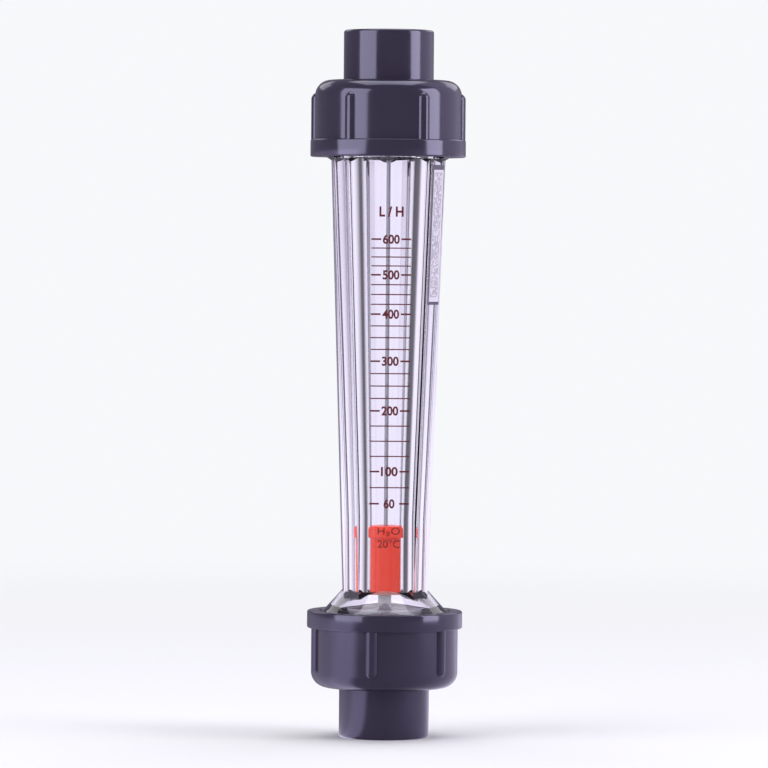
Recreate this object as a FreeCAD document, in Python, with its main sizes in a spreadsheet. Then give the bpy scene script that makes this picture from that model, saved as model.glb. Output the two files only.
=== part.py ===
import FreeCAD, Part

import os

import Sketcher

# A plastic tube rotameter for a 15 mm water line. The meter stands on its inlet end: Z is the flow axis,
# the scale faces -Y, and the origin is the centre of the lower pipe end. All sizes are millimetres.

document = FreeCAD.newDocument("Rotameter")

# ---------------------------------------------------------------- driving dimensions

DIMENSIONS = [
    # The measuring tube
    ("tube_length", 164.0, "sealing face to sealing face"),
    ("end_reach", 24.0, "pipe end to the tube's sealing face"),
    ("flats_low", 24.5, "across the flats where the square body starts in the lower neck"),
    ("flats_high", 33.4, "across the flats at the upper neck"),
    ("corner_leg", 4.3, "leg of the square body's corner chamfer"),
    ("body_start", 12.0, "lower sealing face to the start of the square body"),
    ("neck_radius", 19.0, "threaded neck, over the thread"),
    ("neck_length", 13.8, "threaded neck"),
    ("neck_land", 1.5, "plain collar at the inner end of each thread"),
    ("neck_shoulder", 0.9, "height of the sloping shoulder above the lower neck"),
    ("flare_radius", 17.8, "lower flare at its base"),
    ("flare_height", 7.2, "lower flare, up to where it is lost in the square body"),
    ("flare_run", 6.5, "how far the lower flare closes in over its height"),
    ("body_lap", 0.38, "square body run up inside the short upper flare"),
    ("collet_height", 1.9, "short flare under the upper neck"),
    ("collet_run", 3.1, "how far the short upper flare closes in"),
    ("bore_low", 8.6, "radius of the straight bore at the float's rest"),
    ("bore_high", 12.4, "radius of the tapered bore at its top"),
    ("bore_start", 42.0, "lower sealing face to the start of the bore's taper"),
    ("bell_radius", 14.5, "bell and counterbore that take the stops"),
    ("bell_depth", 14.0, "straight part of the lower bell"),
    ("bell_slope", 6.0, "height of the lower bell's cone"),
    ("counterbore_depth", 11.0, "upper counterbore"),
    ("bore_land", 3.0, "straight bore below the upper counterbore"),
    # The threads
    ("thread_start", 1.0, "sealing face to the start of the thread"),
    ("thread_pitch", 3.0, "right-hand thread of both unions"),
    ("thread_turns", 3, "turns on each neck"),
    ("thread_depth", 1.0, "root to crest"),
    ("thread_base", 1.8, "width of the thread at its root"),
    ("thread_crest", 0.6, "width of the thread at its crest"),
    # The guide rod and its stops
    ("rod_radius", 1.0, "guide rod"),
    ("rod_seat", 7.0, "depth of the rod in each hub"),
    ("stop_wall", 1.8, "wall of a stop's ring"),
    ("stop_height", 13.4, "lower stop's ring"),
    ("upper_stop_height", 10.6, "upper stop's ring"),
    ("spoke_height", 5.5, "spokes of both stops"),
    ("spoke_width", 1.6, "spokes of both stops"),
    ("spoke_count", 3, "spokes of each stop"),
    ("hub_radius", 2.0, "hubs of both stops"),
    ("post_height", 4.5, "lower hub above its spokes, the float's rest"),
    ("buffer_height", 1.1, "upper hub below its ring"),
    ("hub_rise", 3.5, "upper hub above its spokes"),
    # The float
    ("float_height", 21.6, "float, nose to head"),
    ("head_radius", 8.2, "metering head"),
    ("head_height", 3.4, "metering head"),
    ("head_bevel", 0.8, "bevel on the head's top edge"),
    ("float_radius", 7.2, "float body"),
    ("float_wall", 1.1, "float wall"),
    ("sleeve_wall", 0.8, "float's sleeve round the rod"),
    ("nose_height", 2.0, "float nose below the shell"),
    ("nose_radius", 4.6, "flat underside of the nose"),
    ("spigot_height", 1.5, "nose spigot in the shell"),
    ("core_height", 12.0, "steel ballast ring"),
    # The label on the right front chamfer
    ("label_width", 4.8, "film label"),
    ("label_length", 41.6, "film label"),
    ("label_drop", 1.9, "top of the square body to the label's top edge"),
    ("label_film", 0.12, "thickness of the film"),
    # The pipe connectors
    ("barrel_radius", 13.5, "outside of the pipe socket"),
    ("barrel_round", 0.8, "rounded edge of the pipe end"),
    ("socket_radius", 10.1, "solvent socket for 20 mm pipe"),
    ("socket_depth", 16.0, "solvent socket"),
    ("socket_chamfer", 0.6, "lead-in of the socket"),
    ("port_radius", 7.5, "waterway through the connector"),
    ("collar_radius", 18.0, "collar that the nut pulls up"),
    ("collar_height", 5.1, "collar"),
    ("seal_section", 1.9, "diameter of the seal ring's section"),
    ("seal_radius", 16.3, "centre line of the seal ring"),
    # The union nuts
    ("nut_radius", 22.0, "nut body"),
    ("nut_height", 23.0, "union nut"),
    ("nut_shoulder", 3.5, "thickness of the closed end"),
    ("nut_round", 4.6, "rounded shoulder of the closed end"),
    ("rim_radius", 23.3, "rim at the open end"),
    ("rim_height", 5.2, "rim at the open end"),
    ("rim_round", 0.5, "rounded edges of the rim"),
    ("mouth_chamfer", 0.6, "lead-in of the thread"),
    ("rib_count", 6, "grip ribs round the nut"),
    ("rib_radius", 1.95, "half-round grip rib"),
    ("rib_inset", 0.15, "how far a rib stays inside the rim"),
    ("rib_start", 3.8, "closed face to the rib's domed end"),
    # Clearances
    ("slip_gap", 0.3, "between the nut and what it turns on"),
    ("thread_gap", 0.15, "each side of a thread in its groove"),
    ("face_gap", 0.1, "between a connector's face and the tube's"),
    ("stop_gap", 0.1, "round a stop in its bell"),
    ("seat_gap", 0.02, "round the rod in a hub"),
    ("guide_gap", 0.1, "round the rod in the float, and under the float at rest"),
    ("core_gap", 0.05, "round the ballast and the nose spigot"),
    ("seal_gap", 0.05, "beside and below a seal ring"),
    ("film_gap", 0.02, "between the label and the tube"),
]

LOWER_RIB_ANGLE = 18.0  # degrees, where each nut happens to be tightened
UPPER_RIB_ANGLE = -3.0

sizes = document.addObject("Spreadsheet::Sheet", "sizes")
sizes.Label = "driving dimensions"
for row, (alias, value, meaning) in enumerate(DIMENSIONS, start=1):
    sizes.set("A%d" % row, meaning)
    sizes.set("B%d" % row, str(value))
    sizes.setAlias("B%d" % row, alias)
document.recompute()

# Derived levels and radii, as expressions on the sheet
TUBE_TOP = "(sizes.end_reach + sizes.tube_length)"
OVERALL = "(sizes.tube_length + 2 * sizes.end_reach)"
NECK_TOP = "(sizes.end_reach + sizes.neck_length)"
UPPER_NECK = "(sizes.end_reach + sizes.tube_length - sizes.neck_length)"
BODY_LOW = "(sizes.end_reach + sizes.body_start)"
BODY_HIGH = "(%s - sizes.slip_gap - sizes.body_lap)" % UPPER_NECK
BELL_TOP = "(sizes.end_reach + sizes.bell_depth)"
CHOKE = "(%s + sizes.bell_slope)" % BELL_TOP
COUNTERBORE = "(%s - sizes.counterbore_depth)" % TUBE_TOP
TAPER = "((sizes.flats_high - sizes.flats_low) / 2 / (%s - %s))" % (BODY_HIGH, BODY_LOW)

STOP_TOP = "(%s - sizes.bell_depth + sizes.stop_gap + sizes.stop_height)" % BELL_TOP
POST_TOP = "(%s + sizes.post_height)" % STOP_TOP
STOP_RADIUS = "(sizes.bell_radius - sizes.stop_gap)"
BUFFER = "(%s + sizes.stop_gap - sizes.buffer_height)" % COUNTERBORE
SEAT_RADIUS = "(sizes.rod_radius + sizes.seat_gap)"

FLOAT_BASE = "(%s + sizes.guide_gap)" % POST_TOP
FLOAT_TOP = "(%s + sizes.float_height)" % FLOAT_BASE
SHELL_BASE = "(%s + sizes.nose_height)" % FLOAT_BASE
GUIDE_RADIUS = "(sizes.rod_radius + sizes.guide_gap)"
SLEEVE_RADIUS = "(%s + sizes.sleeve_wall)" % GUIDE_RADIUS
CAVITY_RADIUS = "(sizes.float_radius - sizes.float_wall)"
CORE_BASE = "(%s + sizes.spigot_height + sizes.core_gap)" % SHELL_BASE
CAVITY_TOP = "(%s + sizes.core_height + sizes.core_gap)" % CORE_BASE

COLLAR_TOP = "(sizes.end_reach - sizes.face_gap)"
COLLAR_BASE = "(%s - sizes.collar_height)" % COLLAR_TOP
GROOVE_FLOOR = "(%s - sizes.seal_section)" % COLLAR_TOP
GROOVE_HALF = "(sizes.seal_section / 2 + sizes.seal_gap)"
NUT_BASE = "(%s - sizes.slip_gap - sizes.nut_shoulder)" % COLLAR_BASE
NUT_HOLE = "(sizes.barrel_radius + sizes.slip_gap)"
NUT_BORE = "(sizes.neck_radius + sizes.slip_gap)"
THREAD_ROOT = "(sizes.neck_radius - sizes.thread_depth)"
THREAD_LOW = "(sizes.end_reach + sizes.thread_start)"
THREAD_HIGH = "(%s - %s - sizes.thread_base - sizes.thread_turns * sizes.thread_pitch)" % (OVERALL, THREAD_LOW)
RIB_CENTRE = "(sizes.rim_radius - sizes.rib_inset - sizes.rib_radius)"


def evaluate(expression):
    """Value of an expression on the sheet, as a plain number."""
    result = sizes.evalExpression(expression)
    return float(getattr(result, "Value", result))


# ---------------------------------------------------------------- building blocks

def origin_feature(body, role):
    """One of the body's own planes or axes, such as XY_Plane or Z_Axis."""
    return next(item for item in body.Origin.OriginFeatures if item.Role == role)


def new_body(label):
    body = document.addObject("PartDesign::Body", label)
    body.Label = label
    return body


def place_point(sketch, line, across, up):
    """Tie the start of a line to the sheet: its distance across and up from the sketch's origin."""
    for kind, axis, expression in (("DistanceX", -2, across), ("DistanceY", -1, up)):
        value = evaluate(expression)
        if abs(value) < 1e-9:
            sketch.addConstraint(Sketcher.Constraint("PointOnObject", line, 1, axis))
        elif value > 0:
            number = sketch.addConstraint(Sketcher.Constraint(kind, -1, 1, line, 1, value))
            sketch.setExpression("Constraints[%d]" % number, expression)
        else:
            number = sketch.addConstraint(Sketcher.Constraint(kind, line, 1, -1, 1, -value))
            sketch.setExpression("Constraints[%d]" % number, "-(%s)" % expression)


def polygon_sketch(body, name, role, corners, height=None):
    """A closed outline through corners given as pairs of expressions."""
    sketch = body.newObject("Sketcher::SketchObject", name)
    sketch.AttachmentSupport = [(origin_feature(body, role), "")]
    sketch.MapMode = "FlatFace"
    if height is not None:
        sketch.setExpression("AttachmentOffset.Base.z", height)
    points = [FreeCAD.Vector(evaluate(across), evaluate(up), 0) for across, up in corners]
    for index, point in enumerate(points):
        sketch.addGeometry(Part.LineSegment(point, points[(index + 1) % len(points)]))
    for index in range(len(points)):
        following = (index + 1) % len(points)
        sketch.addConstraint(Sketcher.Constraint("Coincident", index, 2, following, 1))
    for index, (across, up) in enumerate(corners):
        place_point(sketch, index, across, up)
    return sketch


def turned(body, name, corners, cut=False):
    """Turn a radius-and-height outline a full circle about the body's Z axis."""
    sketch = polygon_sketch(body, name + "Profile", "XZ_Plane", corners)
    kind = "PartDesign::Groove" if cut else "PartDesign::Revolution"
    feature = body.newObject(kind, name)
    feature.Profile = sketch
    feature.ReferenceAxis = (origin_feature(body, "Z_Axis"), [""])
    feature.Angle = 360
    document.recompute()
    return feature


def ring_edges(feature, radius, height):
    """Names of the feature's round edges at one radius and height."""
    names = []
    for number, edge in enumerate(feature.Shape.Edges, start=1):
        curve = edge.Curve
        if not isinstance(curve, Part.Circle):
            continue
        if abs(curve.Radius - radius) < 1e-3 and abs(curve.Center.z - height) < 1e-3:
            names.append("Edge%d" % number)
    return names


def dress_edges(body, kind, name, base, places, size):
    """Fillet or chamfer the round edges that lie at the given radii and heights."""
    names = []
    for radius, height in places:
        names += ring_edges(base, evaluate(radius), evaluate(height))
    feature = body.newObject(kind, name)
    feature.Base = (base, names)
    feature.setExpression("Radius" if kind.endswith("Fillet") else "Size", size)
    document.recompute()
    return feature


def square_corners(half_flats):
    """Corners of the chamfered square, as seen along Z."""
    edge = "(%s - sizes.corner_leg)" % half_flats
    first = [(half_flats, edge), (edge, half_flats)]
    corners = []
    for across_sign, up_sign in ((1, 1), (-1, 1), (-1, -1), (1, -1)):
        pair = [("%d * %s" % (across_sign, across), "%d * %s" % (up_sign, up)) for across, up in first]
        if across_sign * up_sign < 0:
            pair.reverse()
        corners += pair
    return corners


def threaded(body, name, inner, outer, low, turns, gap="0", cut=False):
    """Run a right-hand thread, or the groove for one, round the body's Z axis."""
    flank = "(sizes.thread_base - sizes.thread_crest) / 2"
    profile = polygon_sketch(body, name + "Profile", "XZ_Plane", [
        (inner, "%s - %s" % (low, gap)),
        (outer, "%s + %s - %s" % (low, flank, gap)),
        (outer, "%s + sizes.thread_base - %s + %s" % (low, flank, gap)),
        (inner, "%s + sizes.thread_base + %s" % (low, gap)),
    ])
    kind = "PartDesign::SubtractiveHelix" if cut else "PartDesign::AdditiveHelix"
    feature = body.newObject(kind, name)
    feature.Profile = profile
    feature.ReferenceAxis = (origin_feature(body, "Z_Axis"), [""])
    feature.Mode = "pitch-turns-angle"
    feature.setExpression("Pitch", "sizes.thread_pitch")
    feature.setExpression("Turns", turns)
    document.recompute()
    return feature


def lofted(body, name, low, high, kind="PartDesign::AdditiveLoft"):
    loft = body.newObject(kind, name)
    loft.Profile = low
    loft.Sections = [high]
    loft.Ruled = True
    document.recompute()
    return loft


def flip_to_outlet(body, angle=0.0):
    """Turn a piece over end for end, so that its pipe end stands at the top of the meter."""
    spin = FreeCAD.Rotation(FreeCAD.Vector(0, 0, 1), angle)
    body.Placement.Rotation = spin.multiply(FreeCAD.Rotation(FreeCAD.Vector(1, 0, 0), 180))


# ---------------------------------------------------------------- measuring tube

def make_tube():
    """Clear moulded tube: a tapered square body with chamfered corners between two threaded necks.

    Each flat runs down into the lower flare and meets it in a shallow arch.
    """
    body = new_body("measuring_tube")
    low = polygon_sketch(body, "SquareLow", "XY_Plane", square_corners("sizes.flats_low / 2"), BODY_LOW)
    high = polygon_sketch(body, "SquareHigh", "XY_Plane", square_corners("sizes.flats_high / 2"), BODY_HIGH)
    lofted(body, "SquareBody", low, high)

    flare_base = "(%s + sizes.neck_shoulder)" % NECK_TOP
    turned(body, "LowerNeck", [
        ("0", "sizes.end_reach"),
        (THREAD_ROOT, "sizes.end_reach"),
        (THREAD_ROOT, NECK_TOP + " - sizes.neck_land"),
        ("sizes.neck_radius", NECK_TOP + " - sizes.neck_land"),
        ("sizes.neck_radius", NECK_TOP),
        ("sizes.flare_radius", flare_base),
        ("sizes.flare_radius - sizes.flare_run", flare_base + " + sizes.flare_height"),
        ("0", flare_base + " + sizes.flare_height"),
    ])
    turned(body, "UpperNeck", [
        ("0", UPPER_NECK + " - sizes.collet_height"),
        ("sizes.neck_radius - sizes.collet_run", UPPER_NECK + " - sizes.collet_height"),
        ("sizes.neck_radius", UPPER_NECK),
        ("sizes.neck_radius", UPPER_NECK + " + sizes.neck_land"),
        (THREAD_ROOT, UPPER_NECK + " + sizes.neck_land"),
        (THREAD_ROOT, TUBE_TOP),
        ("0", TUBE_TOP),
    ])
    for name, low in (("LowerThread", THREAD_LOW), ("UpperThread", THREAD_HIGH)):
        threaded(body, name, THREAD_ROOT + " - sizes.slip_gap", "sizes.neck_radius", low,
                 "sizes.thread_turns")
    turned(body, "Bore", [
        ("0", "sizes.end_reach"),
        ("sizes.bell_radius", "sizes.end_reach"),
        ("sizes.bell_radius", BELL_TOP),
        ("sizes.bore_low", CHOKE),
        ("sizes.bore_low", "sizes.end_reach + sizes.bore_start"),
        ("sizes.bore_high", COUNTERBORE + " - sizes.bore_land"),
        ("sizes.bore_high", COUNTERBORE),
        ("sizes.bell_radius", COUNTERBORE),
        ("sizes.bell_radius", TUBE_TOP),
        ("0", TUBE_TOP),
    ], cut=True)
    return body


# ---------------------------------------------------------------- guide rod and stops

def make_rod():
    """Stainless rod on the axis, its ends seated in the two hubs."""
    rod = document.addObject("Part::Cylinder", "guide_rod")
    rod.Label = "guide_rod"
    rod.setExpression("Radius", "sizes.rod_radius")
    rod.setExpression("Placement.Base.z", POST_TOP + " - sizes.rod_seat + sizes.seat_gap")
    rod.setExpression("Height", "(%s) - (%s) + 2 * (sizes.rod_seat - sizes.seat_gap)" % (BUFFER, POST_TOP))
    return rod


def make_stop(label, ring_low, ring_high, spoke_low, hub_low, hub_high, seat_low, seat_high):
    """Ring, three spokes and a hub, moulded in one piece, with a blind seat for the rod."""
    body = new_body(label)
    inner = "(%s - sizes.stop_wall)" % STOP_RADIUS
    turned(body, "Ring", [
        (inner, ring_low), (STOP_RADIUS, ring_low), (STOP_RADIUS, ring_high), (inner, ring_high)])
    half = "(sizes.spoke_width / 2)"
    spoke = polygon_sketch(body, "SpokeOutline", "XY_Plane", [
        ("0", "-1 * " + half),
        (STOP_RADIUS + " - sizes.stop_wall / 2", "-1 * " + half),
        (STOP_RADIUS + " - sizes.stop_wall / 2", half),
        ("0", half),
    ], spoke_low)
    pad = body.newObject("PartDesign::Pad", "Spoke")
    pad.Profile = spoke
    pad.setExpression("Length", "sizes.spoke_height")
    pattern = body.newObject("PartDesign::PolarPattern", "Spokes")
    pattern.Originals = [pad]
    pattern.Axis = (origin_feature(body, "Z_Axis"), [""])
    pattern.Angle = 360
    pattern.setExpression("Occurrences", "sizes.spoke_count")
    body.Tip = pattern
    document.recompute()
    turned(body, "Hub", [
        ("0", hub_low), ("sizes.hub_radius", hub_low), ("sizes.hub_radius", hub_high), ("0", hub_high)])
    turned(body, "RodSeat", [
        ("0", seat_low), (SEAT_RADIUS, seat_low), (SEAT_RADIUS, seat_high), ("0", seat_high)], cut=True)
    return body


def make_lower_stop():
    """Its ring stands on the inlet connector inside the bell, and its post carries the float at rest."""
    spoke_low = "(%s - sizes.spoke_height)" % STOP_TOP
    return make_stop(
        "lower_stop",
        "(%s - sizes.stop_height)" % STOP_TOP, STOP_TOP, spoke_low,
        spoke_low, POST_TOP,
        "(%s - sizes.rod_seat)" % POST_TOP, POST_TOP)


def make_upper_stop():
    """Its hub reaches a little below the ring, as the buffer that ends the float's travel."""
    ring_low = "(%s + sizes.stop_gap)" % COUNTERBORE
    return make_stop(
        "upper_stop",
        ring_low, "(%s + sizes.upper_stop_height)" % ring_low, ring_low,
        BUFFER, "(%s + sizes.spoke_height + sizes.hub_rise)" % ring_low,
        BUFFER, "(%s + sizes.rod_seat)" % BUFFER)


# ---------------------------------------------------------------- float

def make_float_shell():
    """Red float: metering head with a bevelled top edge, plain body, and a sleeve round the rod."""
    body = new_body("float_shell")
    head_base = "(%s - sizes.head_height)" % FLOAT_TOP
    turned(body, "Shell", [
        (GUIDE_RADIUS, SHELL_BASE),
        (SLEEVE_RADIUS, SHELL_BASE),
        (SLEEVE_RADIUS, CAVITY_TOP),
        (CAVITY_RADIUS, CAVITY_TOP),
        (CAVITY_RADIUS, SHELL_BASE),
        ("sizes.float_radius", SHELL_BASE),
        ("sizes.float_radius", head_base),
        ("sizes.head_radius", head_base),
        ("sizes.head_radius", FLOAT_TOP + " - sizes.head_bevel"),
        ("sizes.head_radius - sizes.head_bevel", FLOAT_TOP),
        (GUIDE_RADIUS, FLOAT_TOP),
    ])
    return body


def make_float_core():
    """Steel ballast ring that fills the float's cavity."""
    body = new_body("float_core")
    inner = SLEEVE_RADIUS + " + sizes.core_gap"
    outer = CAVITY_RADIUS + " - sizes.core_gap"
    top = CORE_BASE + " + sizes.core_height"
    turned(body, "Ballast", [(inner, CORE_BASE), (outer, CORE_BASE), (outer, top), (inner, top)])
    return body


def make_float_nose():
    """Plug that closes the float, with a conical nose and a spigot inside the shell."""
    body = new_body("float_nose")
    spigot_inner = SLEEVE_RADIUS + " + sizes.core_gap"
    spigot_outer = CAVITY_RADIUS + " - sizes.core_gap"
    flange = SHELL_BASE + " - sizes.core_gap"
    spigot_top = SHELL_BASE + " + sizes.spigot_height"
    turned(body, "Nose", [
        (GUIDE_RADIUS, FLOAT_BASE),
        ("sizes.nose_radius", FLOAT_BASE),
        ("sizes.float_radius", flange),
        (spigot_outer, flange),
        (spigot_outer, spigot_top),
        (spigot_inner, spigot_top),
        (spigot_inner, flange),
        (GUIDE_RADIUS, flange),
    ])
    return body


# ---------------------------------------------------------------- label

def make_label():
    """Film label on the right front chamfer, tilted with it: a thin loft between two narrow strips."""
    body = new_body("spec_label")
    body.Placement.Rotation = FreeCAD.Rotation(FreeCAD.Vector(0, 0, 1), 45)
    top = "(%s - sizes.label_drop)" % BODY_HIGH
    bottom = "(%s - sizes.label_length)" % top
    half = "(sizes.label_width / 2)"

    def strip(name, level):
        half_flats = "(sizes.flats_low / 2 + %s * (%s - %s))" % (TAPER, level, BODY_LOW)
        chamfer = "((2 * %s - sizes.corner_leg) / sqrt(2))" % half_flats
        back = "-1 * (%s + sizes.film_gap)" % chamfer
        front = "-1 * (%s + sizes.film_gap + sizes.label_film)" % chamfer
        outline = [("-1 * " + half, back), (half, back), (half, front), ("-1 * " + half, front)]
        return polygon_sketch(body, name, "XY_Plane", outline, level)

    lofted(body, "Film", strip("StripLow", bottom), strip("StripHigh", top))
    return body


# ---------------------------------------------------------------- pipe connectors and their seals

def make_connector(label):
    """Pipe connector: solvent socket, waterway, and a collar with a face groove for the seal ring."""
    body = new_body(label)
    outside = turned(body, "Outside", [
        ("0", "0"),
        ("sizes.barrel_radius", "0"),
        ("sizes.barrel_radius", COLLAR_BASE),
        ("sizes.collar_radius", COLLAR_BASE),
        ("sizes.collar_radius", COLLAR_TOP),
        ("0", COLLAR_TOP),
    ])
    dress_edges(body, "PartDesign::Fillet", "PipeEnd", outside,
                [("sizes.barrel_radius", "0")], "sizes.barrel_round")
    turned(body, "Waterway", [
        ("0", "0"),
        ("sizes.socket_radius + sizes.socket_chamfer", "0"),
        ("sizes.socket_radius", "sizes.socket_chamfer"),
        ("sizes.socket_radius", "sizes.socket_depth"),
        ("sizes.port_radius", "sizes.socket_depth"),
        ("sizes.port_radius", COLLAR_TOP),
        ("0", COLLAR_TOP),
    ], cut=True)
    turned(body, "SealGroove", [
        ("sizes.seal_radius - " + GROOVE_HALF, GROOVE_FLOOR),
        ("sizes.seal_radius + " + GROOVE_HALF, GROOVE_FLOOR),
        ("sizes.seal_radius + " + GROOVE_HALF, COLLAR_TOP),
        ("sizes.seal_radius - " + GROOVE_HALF, COLLAR_TOP),
    ], cut=True)
    return body


def make_seal(label, height):
    """Rubber ring in the collar's face groove, just short of the tube's face."""
    ring = document.addObject("Part::Torus", label)
    ring.Label = label
    ring.setExpression("Radius1", "sizes.seal_radius")
    ring.setExpression("Radius2", "sizes.seal_section / 2")
    ring.setExpression("Placement.Base.z", height)
    return ring


SEAL_LEVEL = "(%s + sizes.seal_section / 2 + sizes.seal_gap)" % GROOVE_FLOOR


# ---------------------------------------------------------------- union nuts

def make_union_nut(label, turned_by):
    """Union nut, built with its closed face at zero: rounded shoulder, domed grip ribs, rim, threaded bore.

    The groove starts where the tube's thread meets it once the nut is turned by that many degrees.
    """
    body = new_body(label)
    rim_base = "(sizes.nut_height - sizes.rim_height)"
    outside = turned(body, "Outside", [
        ("0", "0"),
        ("sizes.nut_radius", "0"),
        ("sizes.nut_radius", rim_base),
        ("sizes.rim_radius", rim_base),
        ("sizes.rim_radius", "sizes.nut_height"),
        ("0", "sizes.nut_height"),
    ])
    shoulder = dress_edges(body, "PartDesign::Fillet", "Shoulder", outside,
                           [("sizes.nut_radius", "0")], "sizes.nut_round")
    dress_edges(body, "PartDesign::Fillet", "RimEdges", shoulder,
                [("sizes.rim_radius", rim_base), ("sizes.rim_radius", "sizes.nut_height")],
                "sizes.rim_round")

    stem = body.newObject("PartDesign::AdditiveCylinder", "RibStem")
    stem.setExpression("Radius", "sizes.rib_radius")
    stem.setExpression("Height", "%s + sizes.rim_round + sizes.rib_inset - sizes.rib_start - sizes.rib_radius"
                       % rim_base)
    dome = body.newObject("PartDesign::AdditiveSphere", "RibDome")
    dome.setExpression("Radius", "sizes.rib_radius")
    for piece in (stem, dome):
        piece.setExpression("Placement.Base.x", RIB_CENTRE)
        piece.setExpression("Placement.Base.z", "sizes.rib_start + sizes.rib_radius")
    document.recompute()
    ribs = body.newObject("PartDesign::PolarPattern", "Ribs")
    ribs.Originals = [stem, dome]
    ribs.Axis = (origin_feature(body, "Z_Axis"), [""])
    ribs.Angle = 360
    ribs.setExpression("Occurrences", "sizes.rib_count")
    body.Tip = ribs
    document.recompute()

    crest = "(%s + sizes.slip_gap)" % THREAD_ROOT
    mouth = "(%s + sizes.thread_gap)" % NUT_BORE
    thread_end = "(%s - sizes.neck_land - %s)" % (NECK_TOP, NUT_BASE)
    turned(body, "Bore", [
        ("0", "0"),
        (NUT_HOLE, "0"),
        (NUT_HOLE, "sizes.nut_shoulder"),
        (crest, "sizes.nut_shoulder"),
        (crest, thread_end + " - sizes.slip_gap"),
        (mouth, thread_end + " - sizes.slip_gap"),
        (mouth, "sizes.nut_height - sizes.mouth_chamfer"),
        (mouth + " + sizes.mouth_chamfer", "sizes.nut_height"),
        ("0", "sizes.nut_height"),
    ], cut=True)
    groove_low = "(%s - %s + sizes.thread_pitch * (%.6f / 360 - 1))" % (THREAD_LOW, NUT_BASE, turned_by)
    threaded(body, "ThreadGroove", crest + " - sizes.slip_gap", NUT_BORE, groove_low,
             "sizes.thread_turns + 2", gap="sizes.thread_gap", cut=True)
    return body


# ---------------------------------------------------------------- assembly

pieces = [
    make_tube(), make_rod(), make_lower_stop(), make_upper_stop(), make_label(),
    make_float_shell(), make_float_core(), make_float_nose(),
]

lower_connector = make_connector("lower_connector")
lower_seal = make_seal("lower_seal_ring", SEAL_LEVEL)
lower_nut = make_union_nut("lower_union_nut", LOWER_RIB_ANGLE)
lower_nut.Placement.Rotation = FreeCAD.Rotation(FreeCAD.Vector(0, 0, 1), LOWER_RIB_ANGLE)
lower_nut.setExpression("Placement.Base.z", NUT_BASE)

upper_connector = make_connector("upper_connector")
flip_to_outlet(upper_connector)
upper_connector.setExpression("Placement.Base.z", OVERALL)
upper_seal = make_seal("upper_seal_ring", "%s - %s" % (OVERALL, SEAL_LEVEL))
upper_nut = make_union_nut("upper_union_nut", -UPPER_RIB_ANGLE)
flip_to_outlet(upper_nut, UPPER_RIB_ANGLE)
upper_nut.setExpression("Placement.Base.z", "%s - %s" % (OVERALL, NUT_BASE))

pieces += [lower_connector, lower_seal, lower_nut, upper_connector, upper_seal, upper_nut]
document.recompute()

# ---------------------------------------------------------------- check and write

for item in document.Objects:
    faults = [state for state in item.State if state in ("Invalid", "Error")]
    if faults:
        raise RuntimeError("%s is %s" % (item.Label, faults))

os.makedirs("parts", exist_ok=True)
for piece in pieces:
    shape = piece.Shape
    if shape.isNull() or not shape.isValid() or len(shape.Solids) != 1:
        raise RuntimeError("%s has no sound solid" % piece.Label)
    shape.exportStep(os.path.join("parts", piece.Label + ".step"))
    box = shape.BoundBox
    print("%-16s volume %9.1f  z %7.2f to %7.2f  r %.2f"
          % (piece.Label, shape.Volume, box.ZMin, box.ZMax, max(box.XMax, box.YMax)))
print("float travel %.3f" % (evaluate(BUFFER) - evaluate(FLOAT_TOP)))
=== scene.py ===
import math

import bmesh
import bpy
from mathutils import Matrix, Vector


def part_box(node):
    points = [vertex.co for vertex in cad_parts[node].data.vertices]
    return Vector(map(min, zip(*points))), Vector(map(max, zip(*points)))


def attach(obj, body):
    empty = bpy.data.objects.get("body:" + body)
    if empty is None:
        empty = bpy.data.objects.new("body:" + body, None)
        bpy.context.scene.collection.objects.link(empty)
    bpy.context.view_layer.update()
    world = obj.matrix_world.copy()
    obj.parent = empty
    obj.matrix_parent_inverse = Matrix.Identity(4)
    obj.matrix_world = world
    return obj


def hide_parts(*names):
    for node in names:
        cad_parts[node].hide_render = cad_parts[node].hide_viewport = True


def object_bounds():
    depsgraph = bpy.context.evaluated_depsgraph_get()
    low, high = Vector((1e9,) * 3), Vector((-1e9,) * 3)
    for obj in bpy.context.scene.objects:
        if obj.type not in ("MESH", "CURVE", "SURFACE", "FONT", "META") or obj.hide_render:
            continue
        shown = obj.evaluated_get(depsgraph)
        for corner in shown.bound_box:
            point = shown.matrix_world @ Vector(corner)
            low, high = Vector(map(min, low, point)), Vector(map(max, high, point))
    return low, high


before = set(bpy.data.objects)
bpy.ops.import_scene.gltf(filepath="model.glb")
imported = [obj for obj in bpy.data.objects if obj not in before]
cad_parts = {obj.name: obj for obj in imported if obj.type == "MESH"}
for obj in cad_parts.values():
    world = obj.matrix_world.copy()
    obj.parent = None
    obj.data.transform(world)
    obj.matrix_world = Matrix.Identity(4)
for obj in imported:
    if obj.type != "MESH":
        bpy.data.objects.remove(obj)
cad_box = [list(corner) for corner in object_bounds()]
MM = 0.001


# ------------------------------------------------------------------ studio
# A wide pale floor that fades into a white surround, two tall side lamps, and a long lens near eye level.
# The meter stands on its inlet end in the middle of the floor.

def new_material(name):
    material = bpy.data.materials.new(name)
    material.use_nodes = True
    material.node_tree.nodes.clear()
    return material


def add_node(tree, kind, **values):
    """A node with properties and socket values set by name, such as Scale=4.0 or operation="ADD"."""
    node = tree.nodes.new(kind)
    for name, value in values.items():
        if hasattr(node, name):
            setattr(node, name, value)
        else:
            node.inputs[name.replace("_", " ")].default_value = value
    return node


def wire(tree, source, output, target, socket):
    tree.links.new(source.outputs[output], target.inputs[socket])


SURROUND = (0.93, 0.94, 0.96, 1)
ROOM = (0.24, 0.22, 0.29)
FLOOR_RADIUS = 6.0
FADE_START, FADE_END = 0.16, 0.95


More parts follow.
